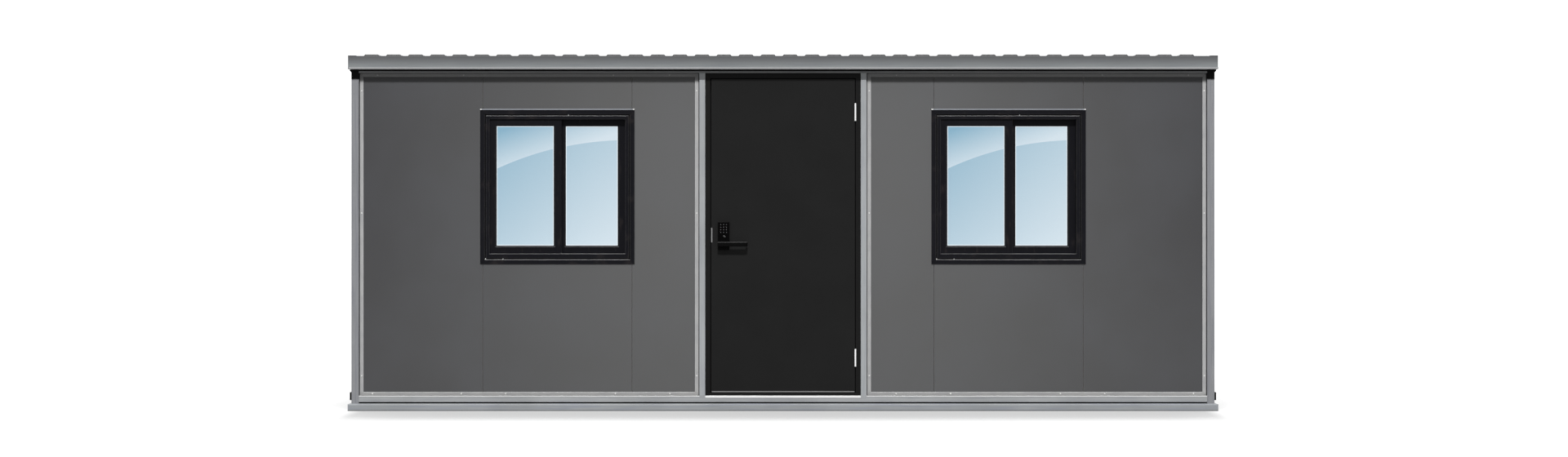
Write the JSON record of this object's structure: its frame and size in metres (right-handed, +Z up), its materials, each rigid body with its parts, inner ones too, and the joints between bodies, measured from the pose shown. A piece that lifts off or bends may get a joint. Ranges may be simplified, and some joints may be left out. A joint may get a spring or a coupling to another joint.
{
  "type": "portable cabin",
  "caption": "Portable flat-roofed cabin of insulated panels on a steel frame, with a hinged steel door between sliding windows.",
  "frame": {"origin": "on the ground under the middle of the base", "axes": "+X along the front to the right as seen from outside, +Y from the front to the back, +Z up"},
  "size_m": [5.8, 2.5, 2.38],
  "materials": {
    "base_paint": "satin grey paint on steel",
    "floor_board": "bare board",
    "black_rubber": "matt black",
    "black_block": "matt black",
    "frame_steel": "satin light grey paint on steel",
    "panel_paint": "satin dark grey coated sheet",
    "trim_metal": "satin light grey",
    "window_profile": "satin black powder coat",
    "window_glass": "clear, pale blue",
    "door_frame_paint": "satin black paint",
    "threshold_metal": "mill finish",
    "door_paint": "satin charcoal paint",
    "stainless": "polished",
    "lock_case": "black",
    "lever_finish": "black",
    "roof_frame_steel": "satin grey paint on steel",
    "ceiling_paint": "satin white",
    "fascia_paint": "satin grey paint on steel",
    "roof_sheet_steel": "satin grey coated sheet"
  },
  "bodies": {
    "cabin": {"back_panels": "panel_paint", "back_trims": "trim_metal", "back_wall_rails": "frame_steel", "base_rail_back": "base_paint", "base_rail_front": "base_paint", "base_rail_left": "base_paint", "base_rail_right": "base_paint", "ceiling_panel": "ceiling_paint", "corner_blocks": "black_block", "corner_posts_back": "frame_steel", "corner_posts_front": "frame_steel", "door_frame": "door_frame_paint", "door_post_left": "frame_steel", "door_post_right": "frame_steel", "door_threshold": "threshold_metal", "end_foot_seals": "black_rubber", "end_trims": "trim_metal", "floor_deck": "floor_board", "floor_joists": "base_paint", "front_bottom_rail": "frame_steel", "front_left_panels": "panel_paint", "front_right_panels": "panel_paint", "front_top_rail": "frame_steel", "front_trims": "trim_metal", "hinge_halves_fixed": "stainless", "left_end_panels": "panel_paint", "left_end_rails": "frame_steel", "right_end_panels": "panel_paint", "right_end_rails": "frame_steel", "roof_battens": "roof_frame_steel", "roof_end_beams": "roof_frame_steel", "roof_fascia_back": "fascia_paint", "roof_fascia_ends": "fascia_paint", "roof_fascia_front": "fascia_paint", "roof_long_beams": "roof_frame_steel", "roof_rafters": "roof_frame_steel", "roof_sheet": "roof_sheet_steel", "wall_seals": "black_rubber", "window_left_frame": "window_profile", "window_left_front_sash": "window_profile", "window_left_glass": "window_glass", "window_left_rear_sash": "window_profile", "window_right_frame": "window_profile", "window_right_front_sash": "window_profile", "window_right_glass": "window_glass", "window_right_rear_sash": "window_profile"},
    "door": {"door_leaf": "door_paint", "door_sweep": "threshold_metal", "latch_plate": "stainless", "hinge_halves_moving": "stainless", "door_lock": "lock_case"},
    "lever": {"door_lever": "lever_finish"}
  },
  "joints": [
    {"name": "door_hinge", "type": "hinge", "parent": "cabin", "child": "door", "pos_m": [0.4845, -1.192, 1.174], "axis": [0, 0, 1], "range_deg": [0, 170]},
    {"name": "lever_turn", "type": "hinge", "parent": "door", "child": "lever", "pos_m": [-0.397, -1.1625, 1.112], "axis": [0, 1, 0], "range_deg": [0, 45], "stiffness_Nm_per_rad": 2, "springref_deg": -20.05}
  ]
}
